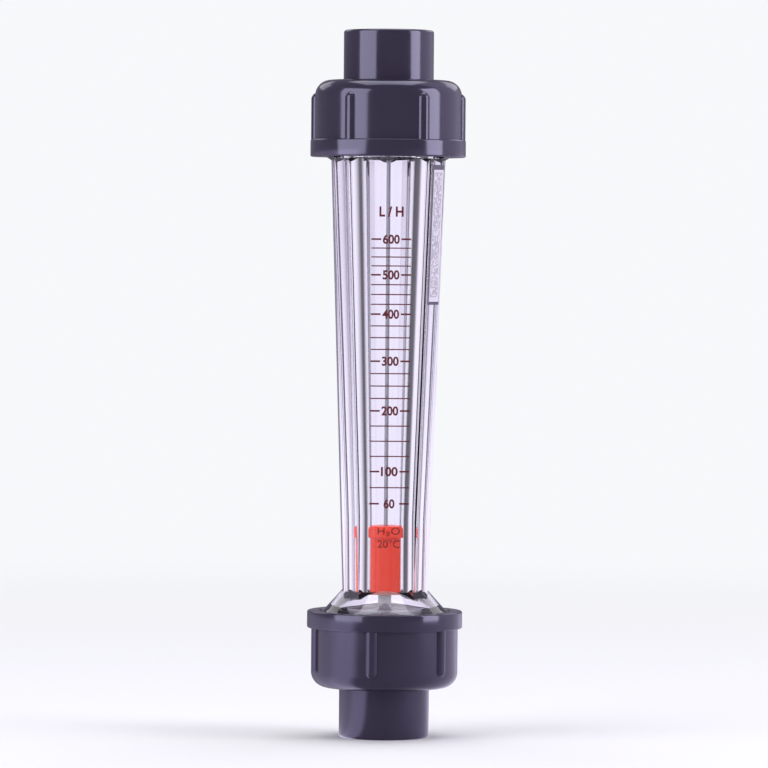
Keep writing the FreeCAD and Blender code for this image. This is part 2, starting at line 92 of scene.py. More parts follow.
def bearing_ramp(name, levels, tint):
    """Node group: light by bearing, from (degrees clockwise from straight behind the meter, level) pairs."""
    group = bpy.data.node_groups.new(name, "ShaderNodeTree")
    group.interface.new_socket(name="Direction", in_out="INPUT", socket_type="NodeSocketVector")
    group.interface.new_socket(name="Color", in_out="OUTPUT", socket_type="NodeSocketColor")
    inputs = group.nodes.new("NodeGroupInput")
    outputs = group.nodes.new("NodeGroupOutput")
    split = add_node(group, "ShaderNodeSeparateXYZ")
    turn = add_node(group, "ShaderNodeMath", operation="ARCTAN2")
    share = add_node(group, "ShaderNodeMapRange")
    share.inputs["From Min"].default_value = -math.pi
    share.inputs["From Max"].default_value = math.pi
    panels = add_node(group, "ShaderNodeValToRGB")
    wire(group, inputs, "Direction", split, 0)
    wire(group, split, "X", turn, 0)
    wire(group, split, "Y", turn, 1)
    wire(group, turn, 0, share, "Value")
    wire(group, share, "Result", panels, "Fac")
    wire(group, panels, "Color", outputs, "Color")
    ramp = panels.color_ramp
    for number, (degrees, level) in enumerate(levels):
        place = (degrees + 180) / 360
        element = ramp.elements[number] if number < 2 else ramp.elements.new(place)
        element.position = place
        element.color = (*[channel * level for channel in tint], 1)
    return group


# What the clear tube looks out on: white behind it and a grey panel on each side.
PANELS = bearing_ramp("panels", [
    (-180, 0.65), (-155, 0.45), (-135, 0.55), (-120, 0.9), (-108, 0.6), (-99, 0.12), (-88, 0.12),
    (-77, 0.45), (-62, 0.8), (-46, 1.0), (-20, 1.05), (60, 1.05), (68, 0.8), (76, 0.3), (84, 0.14),
    (108, 0.10), (125, 0.4), (150, 0.45), (180, 0.65)], (0.96, 0.905, 1.10))
# What the dark gloss mirrors: a dim room with a pale wall to the right of the right lamp.
ROOM_LEVELS = [(-180, 1.0), (20, 1.0), (45, 3.2), (88, 4.2), (96, 1.0), (180, 1.0)]
ROOM_LIGHT = bearing_ramp("room_light", ROOM_LEVELS, ROOM)
# Down on the floor it mirrors both sides of the room more softly, and so the streaks fade to the foot.
FLOOR_LIGHT = bearing_ramp("floor_light", [
    (-180, 1.1), (-139, 1.3), (-128, 8.0), (-100, 7.5), (-85, 4.6), (-55, 3.0), (-30, 1.3), (-10, 0.8),
    (10, 1.0), (35, 4.5), (55, 3.8), (102, 3.5), (155, 1.5), (180, 1.1)], ROOM)

world = bpy.data.worlds.new("surround")
bpy.context.scene.world = world
world.use_nodes = True
tree = world.node_tree
tree.nodes.clear()
rays = add_node(tree, "ShaderNodeLightPath")
direction = add_node(tree, "ShaderNodeTexCoord")
panels = add_node(tree, "ShaderNodeGroup", node_tree=PANELS)
wire(tree, direction, "Generated", panels, "Direction")
# The white behind the meter ends a little above it, which draws the edges of the flare at its foot.
height = add_node(tree, "ShaderNodeSeparateXYZ")
above = add_node(tree, "ShaderNodeMapRange", interpolation_type="SMOOTHSTEP")
above.inputs["From Min"].default_value = 0.13
above.inputs["From Max"].default_value = 0.27
above.inputs["To Min"].default_value = 1.0
above.inputs["To Max"].default_value = 0.22
shaded = add_node(tree, "ShaderNodeVectorMath", operation="SCALE")
wire(tree, direction, "Generated", height, 0)
wire(tree, height, "Z", above, "Value")
wire(tree, panels, "Color", shaded, 0)
wire(tree, above, "Result", shaded, "Scale")

room = add_node(tree, "ShaderNodeGroup", node_tree=ROOM_LIGHT)
wire(tree, direction, "Generated", room, "Direction")
white = add_node(tree, "ShaderNodeRGB")
white.outputs[0].default_value = SURROUND
through = add_node(tree, "ShaderNodeMix", data_type="RGBA")
seen = add_node(tree, "ShaderNodeMix", data_type="RGBA")
backdrop = add_node(tree, "ShaderNodeBackground")
output = add_node(tree, "ShaderNodeOutputWorld")
wire(tree, rays, "Is Transmission Ray", through, "Factor")
tree.links.new(room.outputs[0], through.inputs["A"])
tree.links.new(shaded.outputs[0], through.inputs["B"])
wire(tree, rays, "Is Camera Ray", seen, "Factor")
tree.links.new(through.outputs["Result"], seen.inputs["A"])
tree.links.new(white.outputs[0], seen.inputs["B"])
tree.links.new(seen.outputs["Result"], backdrop.inputs["Color"])
wire(tree, backdrop, 0, output, 0)

bpy.ops.object.select_all(action="DESELECT")
bpy.ops.mesh.primitive_circle_add(vertices=96, radius=FLOOR_RADIUS, fill_type="NGON")
floor = bpy.context.object
floor.name = "floor"

floor_paint = new_material("pale_floor")
tree = floor_paint.node_tree
place = add_node(tree, "ShaderNodeTexCoord")
reach = add_node(tree, "ShaderNodeVectorMath", operation="LENGTH")
fade = add_node(tree, "ShaderNodeMapRange", interpolation_type="SMOOTHSTEP")
fade.inputs["From Min"].default_value = FADE_START
fade.inputs["From Max"].default_value = FADE_END
matt = add_node(tree, "ShaderNodeBsdfPrincipled")
matt.inputs["Base Color"].default_value = (0.815, 0.835, 0.79, 1)
matt.inputs["Roughness"].default_value = 0.7
matt.inputs["Specular IOR Level"].default_value = 0.2
glow = add_node(tree, "ShaderNodeEmission")
glow.inputs["Color"].default_value = SURROUND
mix = add_node(tree, "ShaderNodeMixShader")
output = add_node(tree, "ShaderNodeOutputMaterial")
wire(tree, place, "Object", reach, 0)
wire(tree, reach, "Value", fade, "Value")
wire(tree, fade, "Result", mix, "Fac")
wire(tree, matt, 0, mix, 1)
wire(tree, glow, 0, mix, 2)
# The tube refracts the panels down here too, so that the floor's edge makes no horizon in it.
panels = add_node(tree, "ShaderNodeGroup", node_tree=PANELS)
panel_glow = add_node(tree, "ShaderNodeEmission")
rays = add_node(tree, "ShaderNodeLightPath")
switch = add_node(tree, "ShaderNodeMixShader")
wire(tree, place, "Object", panels, "Direction")
wire(tree, panels, "Color", panel_glow, "Color")
wire(tree, rays, "Is Transmission Ray", switch, "Fac")
streaks = add_node(tree, "ShaderNodeGroup", node_tree=FLOOR_LIGHT)
streak_glow = add_node(tree, "ShaderNodeEmission")
wire(tree, place, "Object", streaks, "Direction")
wire(tree, streaks, "Color", streak_glow, "Color")
mirrored = add_node(tree, "ShaderNodeMixShader")
wire(tree, rays, "Is Glossy Ray", mirrored, "Fac")
wire(tree, mix, 0, mirrored, 1)
wire(tree, streak_glow, 0, mirrored, 2)
wire(tree, mirrored, 0, switch, 1)
wire(tree, panel_glow, 0, switch, 2)
wire(tree, switch, 0, output, "Surface")
floor.data.materials.append(floor_paint)


def side_lamp(name, degrees, wide, high, power, colour, height=0.35):
    """A soft lamp at a bearing from the lens, to the right where positive."""
    lamp = bpy.data.lights.new(name, "AREA")
    lamp.shape = "RECTANGLE"
    lamp.size, lamp.size_y = wide, high
    lamp.energy = power
    lamp.color = colour
    holder = bpy.data.objects.new(name, lamp)
    bpy.context.scene.collection.objects.link(holder)
    bearing = math.radians(degrees)
    holder.location = (1.2 * math.sin(bearing), -1.2 * math.cos(bearing), height)
    aim = Vector((0, 0, 0.11)) - holder.location
    holder.rotation_euler = aim.to_track_quat("-Z", "Y").to_euler()
    holder.visible_camera = False
    holder.visible_transmission = False
    return holder


side_lamp("left_lamp", -58, 1.05, 1.3, 17.5, (0.93, 0.90, 1.0))
side_lamp("right_lamp", 71, 0.62, 1.3, 14.5, (0.94, 0.90, 1.0))
# Two small high lamps behind it put a glint on the flare and on the nuts' shoulders.
for side in (-1, 1):
    side_lamp("rim_lamp", side * 145, 0.7, 0.45, 1.2, (0.97, 0.95, 1.0), height=0.74)
top_lamp = side_lamp("top_lamp", 170, 1.2, 1.2, 12, (0.97, 0.98, 1.0))
top_lamp.location = (0.0, 0.25, 1.5)
top_lamp.rotation_euler = (0, 0, 0)

CAMERA_BEARING = math.radians(-2.0)
CAMERA_DISTANCE = 1.60
CAMERA_HEIGHT = 0.148
MIDDLE = (cad_box[0][2] + cad_box[1][2]) / 2
FRAME_HEIGHT = 0.2304
ROLL = math.radians(0.44)

lens = bpy.data.cameras.new("camera")
camera = bpy.data.objects.new("camera", lens)
bpy.context.scene.collection.objects.link(camera)
bpy.context.scene.camera = camera
lens.sensor_width = 36
lens.lens = lens.sensor_width * CAMERA_DISTANCE / FRAME_HEIGHT
camera.location = (CAMERA_DISTANCE * math.sin(CAMERA_BEARING),
                   -CAMERA_DISTANCE * math.cos(CAMERA_BEARING), CAMERA_HEIGHT)
aim = Vector((-0.7 * MM, 0, MIDDLE)) - camera.location
camera.rotation_euler = aim.to_track_quat("-Z", "Y").to_euler()
camera.rotation_euler.rotate_axis("Z", ROLL)
bpy.context.scene.view_settings.view_transform = "Standard"


# ------------------------------------------------------------------ measuring tube
# One moulding of clear styrene-acrylonitrile: a tapered square body with chamfered corners between two
# threaded necks, flared at the foot, with a polished tapered bore. Each flat meets the flare in an arch.

TUBE_FOOT, TUBE_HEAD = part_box("measuring_tube")[0][2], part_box("measuring_tube")[1][2]
NECK_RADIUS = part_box("measuring_tube")[1][0]
NUT_MOUTH_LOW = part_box("lower_union_nut")[1][2]
NUT_MOUTH_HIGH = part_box("upper_union_nut")[0][2]
FLATS_LOW, FLATS_HIGH = 24.5 * MM, 33.4 * MM
BODY_LOW, BODY_HIGH = TUBE_FOOT + 12 * MM, NUT_MOUTH_HIGH - 0.48 * MM
CORNER_LEG = 4.3 * MM
BORE_LOW, BORE_HIGH = 8.6 * MM, 12.4 * MM
BELL_RADIUS = 14.5 * MM
ROUND_STEPS = 192


def clear_selection():
    bpy.ops.object.select_all(action="DESELECT")


def finish_piece(piece, name, smooth=30):
    """Name a piece, put its place into its mesh, and shade its curved faces smooth."""
    if bpy.context.object and bpy.context.object.mode != "OBJECT":
        bpy.ops.object.mode_set(mode="OBJECT")
    clear_selection()
    piece.select_set(True)
    bpy.context.view_layer.objects.active = piece
    bpy.ops.object.transform_apply(location=True, rotation=True, scale=True)
    bpy.ops.object.mode_set(mode="EDIT")
    bpy.ops.mesh.select_all(action="SELECT")
    bpy.ops.mesh.normals_make_consistent(inside=False)
    bpy.ops.object.mode_set(mode="OBJECT")
    bpy.ops.object.shade_smooth_by_angle(angle=math.radians(smooth))
    piece.name = piece.data.name = name
    return piece


def turned(name, rings, steps=ROUND_STEPS, hollow=False, smooth=30):
    """Raise a disc ring by ring through (radius, height) pairs, or a bare circle that closes on itself."""
    clear_selection()
    radius, height = rings[0]
    bpy.ops.mesh.primitive_circle_add(vertices=steps, radius=radius, location=(0, 0, height),
                                      fill_type="NOTHING" if hollow else "NGON")
    piece = bpy.context.object
    bpy.ops.object.transform_apply(location=True)
    bpy.ops.object.mode_set(mode="EDIT")
    bpy.ops.mesh.select_all(action="SELECT")
    for next_radius, next_height in rings[1:] + (rings[:1] if hollow else []):
        bpy.ops.mesh.extrude_region_move(
            TRANSFORM_OT_translate={"value": (0, 0, next_height - height)})
        grow = next_radius / radius
        bpy.ops.transform.resize(value=(grow, grow, 1), center_override=(0, 0, next_height))
        radius, height = next_radius, next_height
    bpy.ops.mesh.select_all(action="SELECT")
    bpy.ops.mesh.remove_doubles(threshold=1e-7)
    return finish_piece(piece, name, smooth)


def combine(piece, other, operation):
    """Join another mesh to a piece, or cut it away, and delete it."""
    clear_selection()
    piece.select_set(True)
    bpy.context.view_layer.objects.active = piece
    step = piece.modifiers.new(operation.lower(), "BOOLEAN")
    step.operation = operation
    step.solver = "EXACT"
    step.object = other
    bpy.ops.object.modifier_apply(modifier=step.name)
    bpy.data.objects.remove(other)


def chamfered_square(name, flats, height):
    clear_selection()
    bpy.ops.mesh.primitive_plane_add(size=flats, location=(0, 0, height))
    piece = bpy.context.object
    bpy.ops.object.transform_apply(location=True)
    bpy.ops.object.mode_set(mode="EDIT")
    bpy.ops.mesh.select_all(action="SELECT")
    bpy.ops.mesh.bevel(offset=CORNER_LEG, affect="VERTICES", offset_type="OFFSET")
    bpy.ops.object.mode_set(mode="OBJECT")
    piece.name = name
    return piece


tube = chamfered_square("square_foot", FLATS_LOW, BODY_LOW)
square_head = chamfered_square("square_head", FLATS_HIGH, BODY_HIGH)
clear_selection()
square_head.select_set(True)
tube.select_set(True)
bpy.context.view_layer.objects.active = tube
bpy.ops.object.join()
bpy.ops.object.mode_set(mode="EDIT")
bpy.ops.mesh.select_all(action="SELECT")
bpy.ops.mesh.bridge_edge_loops()
finish_piece(tube, "tube_square")

# Round the eight long corners a little, as a mould leaves them.
bpy.ops.object.mode_set(mode="EDIT")
bpy.ops.mesh.select_all(action="DESELECT")
corners = bmesh.from_edit_mesh(tube.data)
for edge in corners.edges:
    ends = [vertex.co.z for vertex in edge.verts]
    edge.select_set(max(ends) - min(ends) > CORNER_LEG)
bmesh.update_edit_mesh(tube.data)
bpy.ops.mesh.bevel(offset=0.08 * MM, segments=2, affect="EDGES")
bpy.ops.object.mode_set(mode="OBJECT")

NECK_TOP = NUT_MOUTH_LOW - 0.2 * MM
UPPER_NECK = NUT_MOUTH_HIGH + 0.2 * MM
SHOULDER_TOP = NECK_TOP + 0.9 * MM
NECK_LAND = 1.5 * MM
THREAD_ROOT = NECK_RADIUS - 1.0 * MM
THREAD_PITCH, THREAD_TURNS = 3.0 * MM, 3
THREAD_BASE, THREAD_CREST = 1.8 * MM, 0.6 * MM
THREAD_LOW = TUBE_FOOT + 1.0 * MM
THREAD_HIGH = TUBE_HEAD - 1.0 * MM - THREAD_BASE - THREAD_TURNS * THREAD_PITCH
SLIP = 0.3 * MM


def thread(name, inner, outer, low, turns, gap=0.0):
    """A right-hand ridge, or the cutter for its groove, wound up from its lowest turn."""
    clear_selection()
    bpy.ops.mesh.primitive_plane_add(size=1, rotation=(math.radians(90), 0, 0))
    ridge = bpy.context.object
    ridge.scale = (outer - inner, THREAD_BASE + 2 * gap, 1)
    middle = low + THREAD_BASE / 2
    ridge.location = ((inner + outer) / 2, 0, middle)
    bpy.ops.object.transform_apply(location=True, rotation=True, scale=True)
    bpy.ops.object.mode_set(mode="EDIT")
    bpy.ops.mesh.select_all(action="DESELECT")
    section = bmesh.from_edit_mesh(ridge.data)
    for vertex in section.verts:
        vertex.select_set(vertex.co.x > (inner + outer) / 2)
    section.select_flush_mode()
    bmesh.update_edit_mesh(ridge.data)
    narrow = (THREAD_CREST + 2 * gap) / (THREAD_BASE + 2 * gap)
    bpy.ops.transform.resize(value=(1, 1, narrow), center_override=(0, 0, middle))
    bpy.ops.mesh.select_all(action="SELECT")
    bpy.ops.mesh.delete(type="ONLY_FACE")
    bpy.ops.object.mode_set(mode="OBJECT")
    winding = ridge.modifiers.new("winding", "SCREW")
    winding.axis = "Z"
    winding.angle = math.tau
    winding.screw_offset = THREAD_PITCH
    winding.iterations = turns
    winding.steps = winding.render_steps = ROUND_STEPS // 2
    bpy.ops.object.modifier_apply(modifier=winding.name)
    bpy.ops.object.mode_set(mode="EDIT")
    bpy.ops.mesh.select_all(action="SELECT")
    bpy.ops.mesh.fill_holes(sides=4)
    bpy.ops.mesh.select_all(action="SELECT")
    bpy.ops.mesh.normals_make_consistent(inside=False)
    bpy.ops.object.mode_set(mode="OBJECT")
    return finish_piece(ridge, name)


lower_neck = turned("lower_neck", [
    (THREAD_ROOT - 0.5 * MM, TUBE_FOOT), (THREAD_ROOT, TUBE_FOOT + 0.5 * MM),
    (THREAD_ROOT, NECK_TOP - NECK_LAND), (NECK_RADIUS, NECK_TOP - NECK_LAND), (NECK_RADIUS, NECK_TOP),
    (17.8 * MM, SHOULDER_TOP), (11.3 * MM, SHOULDER_TOP + 7.2 * MM)])
upper_neck = turned("upper_neck", [
    (15.9 * MM, NUT_MOUTH_HIGH - 1.7 * MM), (NECK_RADIUS, UPPER_NECK),
    (NECK_RADIUS, UPPER_NECK + NECK_LAND), (THREAD_ROOT, UPPER_NECK + NECK_LAND),
    (THREAD_ROOT, TUBE_HEAD - 0.5 * MM), (THREAD_ROOT - 0.5 * MM, TUBE_HEAD)])
for neck, low in ((lower_neck, THREAD_LOW), (upper_neck, THREAD_HIGH)):
    combine(neck, thread("thread", THREAD_ROOT - SLIP, NECK_RADIUS, low, THREAD_TURNS), "UNION")
    combine(tube, neck, "UNION")

BELL_TOP = TUBE_FOOT + 14 * MM
CHOKE = BELL_TOP + 6 * MM
COUNTERBORE = TUBE_HEAD - 11 * MM
bore = turned("bore", [
    (BELL_RADIUS, TUBE_FOOT - 1 * MM), (BELL_RADIUS, BELL_TOP), (BORE_LOW, CHOKE),
    (BORE_LOW, CHOKE + 22 * MM), (BORE_HIGH, COUNTERBORE - 3 * MM), (BORE_HIGH, COUNTERBORE),
    (BELL_RADIUS, COUNTERBORE), (BELL_RADIUS, TUBE_HEAD + 1 * MM)])
combine(tube, bore, "DIFFERENCE")
finish_piece(tube, "clear_tube", smooth=12)

clear_plastic = new_material("clear_plastic")
tree = clear_plastic.node_tree
# Painted shade: a darker grey on the four corners, following them as they widen up the tube and growing
# stronger with height, stands in for the dark bands that refraction draws along them.
place = add_node(tree, "ShaderNodeTexCoord")
split = add_node(tree, "ShaderNodeSeparateXYZ")
wire(tree, place, "Object", split, 0)


def formula(operation, first, second=None, third=None):
    """A math node on plain numbers or on other nodes' outputs, in the material being made."""
    node = add_node(tree, "ShaderNodeMath", operation=operation)
    for index, value in enumerate((first, second, third)):
        if isinstance(value, (int, float)):
            node.inputs[index].default_value = value
        elif value is not None:
            tree.links.new(value, node.inputs[index])
    return node.outputs[0]


across, deep, up = split.outputs["X"], split.outputs["Y"], split.outputs["Z"]
slope = (FLATS_HIGH - FLATS_LOW) / (BODY_HIGH - BODY_LOW)
corner = formula("ADD", formula("ABSOLUTE", across), formula("ABSOLUTE", deep))
corner = formula("SUBTRACT", corner, formula("MULTIPLY", formula("SUBTRACT", up, BODY_LOW), slope))
corner_shade_mask = formula("GREATER_THAN", corner, FLATS_LOW - CORNER_LEG - 0.1 * MM)
# The painted corner shade fades in with height, from 75 to 150 mm.
shade_rise = add_node(tree, "ShaderNodeMapRange")
shade_rise.inputs["From Min"].default_value = 0.075
shade_rise.inputs["From Max"].default_value = 0.15
tree.links.new(up, shade_rise.inputs["Value"])
# Painted shade: the corners' base colour is mixed towards a darker grey.
painted_corner_shade = add_node(tree, "ShaderNodeMix", data_type="RGBA")
painted_corner_shade.inputs["A"].default_value = (0.975, 0.975, 0.985, 1)
painted_corner_shade.inputs["B"].default_value = (0.60, 0.57, 0.63, 1)
tree.links.new(formula("MULTIPLY", corner_shade_mask, shade_rise.outputs["Result"]), painted_corner_shade.inputs["Factor"])
body = add_node(tree, "ShaderNodeBsdfPrincipled")
tree.links.new(painted_corner_shade.outputs["Result"], body.inputs["Base Color"])
body.inputs["Roughness"].default_value = 0.015
body.inputs["IOR"].default_value = 1.57
body.inputs["Transmission Weight"].default_value = 1.0
see_through = add_node(tree, "ShaderNodeBsdfTransparent")
see_through.inputs["Color"].default_value = (0.96, 0.955, 0.96, 1)
rays = add_node(tree, "ShaderNodeLightPath")
mix = add_node(tree, "ShaderNodeMixShader")
output = add_node(tree, "ShaderNodeOutputMaterial")
wire(tree, rays, "Is Shadow Ray", mix, "Fac")
wire(tree, body, 0, mix, 1)
wire(tree, see_through, 0, mix, 2)
wire(tree, mix, 0, output, "Surface")
tube.data.materials.append(clear_plastic)
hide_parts("measuring_tube")
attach(tube, "meter_body")


# ------------------------------------------------------------------ scale print
# Dark red ink on the front flat: a line every 25 litres an hour, numbers at the hundreds, the unit above
# and the medium and its temperature below. The ink stands a hair proud of the tube.

FLOW_MARKS = [(60, 70.7), (100, 80.3), (200, 98.4), (300, 113.2), (400, 127.2), (500, 138.9), (600, 149.5)]
LINE_WIDTH, LINE_LENGTH, DASH_LENGTH = 0.34 * MM, 11.8 * MM, 2.9 * MM
NUMBER_HEIGHT = 2.8 * MM
PRINT_SHIFT = 0.6 * MM
INK_DEPTH = 0.03 * MM
TILT = math.atan((FLATS_HIGH - FLATS_LOW) / 2 / (BODY_HIGH - BODY_LOW))

ink_pieces = []


def ink_line(across, height, length, width):
    """A printed line on the flat, drawn lying down with its height measured along Y."""
    clear_selection()
    bpy.ops.mesh.primitive_plane_add(size=1, location=(across, height, 0))
    line = bpy.context.object
    line.scale = (length, width, 1)
    bpy.ops.object.transform_apply(location=True, rotation=True, scale=True)
    ink_pieces.append(line)


def ink_text(words, across, height, tall, wide, bold=0.03):
    """Printed characters, centred, squeezed to their printed height and width."""
    clear_selection()
    bpy.ops.object.text_add(location=(0, 0, 0))
    text = bpy.context.object
    text.data.body = words
    text.data.align_x, text.data.align_y = "CENTER", "CENTER"
    text.data.offset = bold
    text.data.resolution_u = 6
    bpy.ops.object.convert(target="MESH")
    text = bpy.context.object
    spans = [[vertex.co[axis] for vertex in text.data.vertices] for axis in (0, 1)]
    centre = [(min(span) + max(span)) / 2 for span in spans]
    grow = [size / (max(span) - min(span)) for size, span in zip((wide, tall), spans)]
    text.scale = (grow[0], grow[1], 1)
    text.location = (across - centre[0] * grow[0], height - centre[1] * grow[1], 0)
    bpy.ops.object.transform_apply(location=True, rotation=True, scale=True)
    ink_pieces.append(text)


for index, (flow, level) in enumerate(FLOW_MARKS):
    digits = str(flow)
    ink_text(digits, 0, level * MM, NUMBER_HEIGHT, (1.75 * len(digits) - 0.25) * MM)
    for side in (-1, 1):
        ink_line(side * (LINE_LENGTH - DASH_LENGTH) / 2, level * MM, DASH_LENGTH, 1.5 * LINE_WIDTH)
    if index:
        flow_below, level_below = FLOW_MARKS[index - 1]
        parts = 2 if flow_below == 60 else 4
        for part in range(1, parts):
            between = level_below + (level - level_below) * part / parts
            ink_line(0, between * MM, LINE_LENGTH, LINE_WIDTH)
ink_text("L / H", 0, 157.7 * MM, 3.1 * MM, 7.2 * MM)
ink_text("H\u2082O", 0, 62.3 * MM, 2.6 * MM, 6.6 * MM, bold=0)
ink_text("20\u00b0C", 0, 58.7 * MM, 2.4 * MM, 6.6 * MM, bold=0)

clear_selection()
for piece in ink_pieces:
    piece.select_set(True)
bpy.context.view_layer.objects.active = ink_pieces[0]
bpy.ops.object.join()
scale_print = bpy.context.object
bpy.ops.object.mode_set(mode="EDIT")
bpy.ops.mesh.select_all(action="SELECT")
bpy.ops.mesh.extrude_region_move(TRANSFORM_OT_translate={"value": (0, 0, INK_DEPTH)})
bpy.ops.object.mode_set(mode="OBJECT")
# Stand it up on the flat: the drawing's Y climbs the flat, from the level of the square body's foot.
scale_print.location = (0, -BODY_LOW, 0)
bpy.ops.object.transform_apply(location=True)
scale_print.rotation_euler = (math.radians(90) + TILT, 0, 0)
scale_print.location = (PRINT_SHIFT, -FLATS_LOW / 2 - 0.01 * MM, BODY_LOW)
finish_piece(scale_print, "scale_print")

print_ink = new_material("print_ink")
tree = print_ink.node_tree
ink = add_node(tree, "ShaderNodeBsdfPrincipled")
ink.inputs["Base Color"].default_value = (0.10, 0.004, 0.008, 1)
ink.inputs["Roughness"].default_value = 0.55
output = add_node(tree, "ShaderNodeOutputMaterial")
wire(tree, ink, 0, output, "Surface")
scale_print.data.materials.append(print_ink)
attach(scale_print, "meter_body")


# ------------------------------------------------------------------ guide rod
# Drawn stainless wire on the tube's axis. Its ends sit in the hubs of the two stops.

(_, _, rod_foot), (rod_radius, _, rod_head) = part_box("guide_rod")
guide_rod = turned("rod", [
    (rod_radius - 0.2 * MM, rod_foot), (rod_radius, rod_foot + 0.2 * MM),
    (rod_radius, rod_head - 0.2 * MM), (rod_radius - 0.2 * MM, rod_head)], steps=48)

drawn_steel = new_material("drawn_steel")
tree = drawn_steel.node_tree
steel = add_node(tree, "ShaderNodeBsdfPrincipled")
steel.inputs["Base Color"].default_value = (0.60, 0.61, 0.63, 1)
steel.inputs["Metallic"].default_value = 1.0
place = add_node(tree, "ShaderNodeTexCoord")
stretch = add_node(tree, "ShaderNodeMapping")
stretch.inputs["Scale"].default_value = (9000, 9000, 120)
streaks = add_node(tree, "ShaderNodeTexNoise")
streaks.inputs["Scale"].default_value = 1.0
streaks.inputs["Detail"].default_value = 3.0
shine = add_node(tree, "ShaderNodeMapRange")
shine.inputs["To Min"].default_value = 0.07
shine.inputs["To Max"].default_value = 0.16
output = add_node(tree, "ShaderNodeOutputMaterial")
wire(tree, place, "Object", stretch, "Vector")
wire(tree, stretch, 0, streaks, "Vector")
wire(tree, streaks, "Fac", shine, "Value")
wire(tree, shine, "Result", steel, "Roughness")
wire(tree, steel, 0, output, "Surface")
guide_rod.data.materials.append(drawn_steel)
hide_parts("guide_rod")
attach(guide_rod, "meter_body")


# ------------------------------------------------------------------ rod stops
# Pale mouldings in the two ends of the tube: a ring, three spokes and a hub with a blind seat for the rod.
# The lower hub is a post that the float rests on, and the upper hub is the buffer at the end of its travel.

HUB_RADIUS = 2.0 * MM
SPOKE_WIDTH, SPOKE_HEIGHT = 1.6 * MM, 5.5 * MM
STOP_WALL = 1.8 * MM
HUB_RISE = 3.5 * MM
GRAIN_SIZE, FLOW_SIZE = 0.6 * MM, 12 * MM


def moulding_skin():
    """Node group: the faint unevenness of moulded plastic, as a mask and a height."""
    group = bpy.data.node_groups.new("moulding_skin", "ShaderNodeTree")
    for name in ("Mask", "Height"):
        group.interface.new_socket(name=name, in_out="OUTPUT", socket_type="NodeSocketFloat")
    outputs = group.nodes.new("NodeGroupOutput")
    place = add_node(group, "ShaderNodeTexCoord")
    noises = []
    for size in (GRAIN_SIZE, FLOW_SIZE):
        noise = add_node(group, "ShaderNodeTexNoise")
        noise.inputs["Scale"].default_value = 1 / size
        noise.inputs["Detail"].default_value = 2.0
        wire(group, place, "Object", noise, "Vector")
        noises.append(noise)
    both = add_node(group, "ShaderNodeMath", operation="MULTIPLY_ADD")
    both.inputs[1].default_value = 0.25
    wire(group, noises[0], "Fac", both, 0)
    wire(group, noises[1], "Fac", both, 2)
    wire(group, noises[1], "Fac", outputs, "Mask")
    wire(group, both, 0, outputs, "Height")
    return group


SKIN = moulding_skin()


def moulded_plastic(name, colour, gloss_low, gloss_high, relief, sheen=0.5, sheen_tint=(1, 1, 1)):
    """Moulded plastic: its colour and gloss vary a little along the flow of the melt."""
    material = new_material(name)
    tree = material.node_tree
    skin = add_node(tree, "ShaderNodeGroup", node_tree=SKIN)
    tone = add_node(tree, "ShaderNodeMix", data_type="RGBA")
    tone.inputs["A"].default_value = (*[channel * 0.93 for channel in colour], 1)
    tone.inputs["B"].default_value = (*[min(1, channel * 1.07) for channel in colour], 1)
    gloss = add_node(tree, "ShaderNodeMapRange")
    gloss.inputs["To Min"].default_value = gloss_low
    gloss.inputs["To Max"].default_value = gloss_high
    bump = add_node(tree, "ShaderNodeBump")
    bump.inputs["Strength"].default_value = 1.0
    bump.inputs["Distance"].default_value = relief
    body = add_node(tree, "ShaderNodeBsdfPrincipled")
    body.inputs["Specular IOR Level"].default_value = sheen
    body.inputs["Specular Tint"].default_value = (*sheen_tint, 1)
    output = add_node(tree, "ShaderNodeOutputMaterial")
    wire(tree, skin, "Mask", tone, "Factor")
    wire(tree, skin, "Mask", gloss, "Value")
    wire(tree, skin, "Height", bump, "Height")
    tree.links.new(tone.outputs["Result"], body.inputs["Base Color"])
    wire(tree, gloss, "Result", body, "Roughness")
    wire(tree, bump, "Normal", body, "Normal")
    wire(tree, body, 0, output, "Surface")
    return material


pale_plastic = moulded_plastic("pale_plastic", (0.38, 0.365, 0.42), 0.35, 0.5, 0.01 * MM)


def stop(node, name, hub_foot, hub_head, spoke_foot):
    """The ring of one stop with its spokes and hub joined on."""
    low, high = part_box(node)
    outer = high[0]
    if node == "lower_stop":
        ring_foot, ring_head = low[2], spoke_foot + SPOKE_HEIGHT
    else:
        ring_foot, ring_head = spoke_foot, high[2]
    piece = turned(name, [
        (outer - STOP_WALL, ring_foot), (outer - 0.3 * MM, ring_foot), (outer, ring_foot + 0.3 * MM),
        (outer, ring_head - 0.3 * MM), (outer - 0.3 * MM, ring_head), (outer - STOP_WALL, ring_head)],
        steps=96, hollow=True)
    for number in range(3):
        clear_selection()
        bpy.ops.mesh.primitive_cube_add(size=1, location=((outer - STOP_WALL / 2) / 2, 0, 0))
        spoke = bpy.context.object
        spoke.scale = (outer - STOP_WALL / 2, SPOKE_WIDTH, SPOKE_HEIGHT)
        spoke.location.z = spoke_foot + SPOKE_HEIGHT / 2
        bpy.ops.object.transform_apply(location=True, rotation=True, scale=True)
        spoke.rotation_euler = (0, 0, math.radians(120 * number))
        bpy.ops.object.transform_apply(rotation=True)
        combine(piece, spoke, "UNION")
    hub = turned("hub", [
        (HUB_RADIUS - 0.25 * MM, hub_foot), (HUB_RADIUS, hub_foot + 0.25 * MM),
        (HUB_RADIUS, hub_head - 0.25 * MM), (HUB_RADIUS - 0.25 * MM, hub_head)], steps=48)
    combine(piece, hub, "UNION")
    seat = turned("seat", [(rod_radius + 0.02 * MM, max(hub_foot, rod_foot) - 0.02 * MM),
                           (rod_radius + 0.02 * MM, min(hub_head, rod_head) + 0.02 * MM)], steps=48)
    combine(piece, seat, "DIFFERENCE")
    finish_piece(piece, name)
    piece.data.materials.append(pale_plastic)
    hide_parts(node)
    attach(piece, "meter_body")


